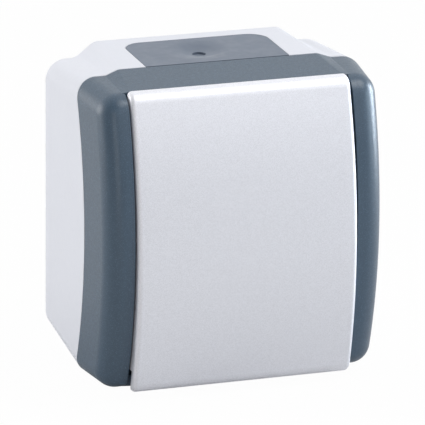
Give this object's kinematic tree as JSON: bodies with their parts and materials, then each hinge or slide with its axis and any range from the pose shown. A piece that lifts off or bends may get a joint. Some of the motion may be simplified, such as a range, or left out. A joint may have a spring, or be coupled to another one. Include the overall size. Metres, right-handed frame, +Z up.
{
  "type": "outdoor weatherproof switch",
  "caption": "Surface-mounted weatherproof rocker switch with a bowed two-tone housing, wide tilting rocker, soft cable entry membranes and a tumbler contact mechanism.",
  "frame": {"origin": "centre of the wall face, midway between the two wall screw holes", "axes": "+X to the right seen from the front, +Y into the wall, so the front faces -Y, +Z up"},
  "size_m": [0.0654, 0.0451, 0.0696],
  "materials": {
    "base_white": "cool white moulded plastic, satin",
    "frame_slate": "dark slate grey moulded plastic, satin",
    "membrane_grey": "soft slate grey elastomer, matt",
    "rocker_silver": "silver metallic lacquer on plastic, satin",
    "seal_black": "black elastomer, matt",
    "insert_grey": "light grey moulded plastic, matt",
    "carrier_white": "natural white moulded plastic, satin",
    "screw_steel": "zinc plated steel",
    "spring_steel": "drawn spring wire",
    "contact_brass": "stamped brass",
    "contact_silver": "silver alloy contact face"
  },
  "bodies": {
    "housing": {"base_box": "base_white", "top_cable_membrane": "membrane_grey", "bottom_cable_membrane": "membrane_grey", "housing_seal": "seal_black", "front_frame": "frame_slate", "frame_screws": "screw_steel", "mechanism_body": "insert_grey", "mechanism_cover": "insert_grey", "mechanism_seal": "seal_black", "mechanism_screws": "screw_steel", "common_terminal": "contact_brass", "upper_contact": "contact_brass", "lower_contact": "contact_brass", "fixed_contact_rivets": "contact_silver", "terminal_clamps": "contact_brass", "terminal_screws": "screw_steel"},
    "rocker_unit": {"rocker": "rocker_silver", "rocker_carrier": "carrier_white", "plunger_spring": "spring_steel"},
    "plunger_unit": {"plunger": "carrier_white"},
    "tumbler_unit": {"contact_tumbler": "contact_brass", "moving_contact_rivets": "contact_silver"}
  },
  "joints": [
    {"name": "rocker_tilt", "type": "hinge", "parent": "housing", "child": "rocker_unit", "pos_m": [0, -0.033, 0], "axis": [1, 0, 0], "range_deg": [0, 6]},
    {"name": "plunger_slide", "type": "slide", "parent": "rocker_unit", "child": "plunger_unit", "axis": [0, -0.9986, 0.0523], "range_m": [0, 0.0008], "deforming": ["plunger_spring"]},
    {"name": "contact_tumbler_tilt", "type": "hinge", "parent": "housing", "child": "tumbler_unit", "pos_m": [0, -0.016, 0], "axis": [1, 0, 0], "range_deg": [-22, 0]}
  ],
  "couplings": [
    {"joint": "contact_tumbler_tilt", "follows": "rocker_tilt", "ratio": -3}
  ]
}
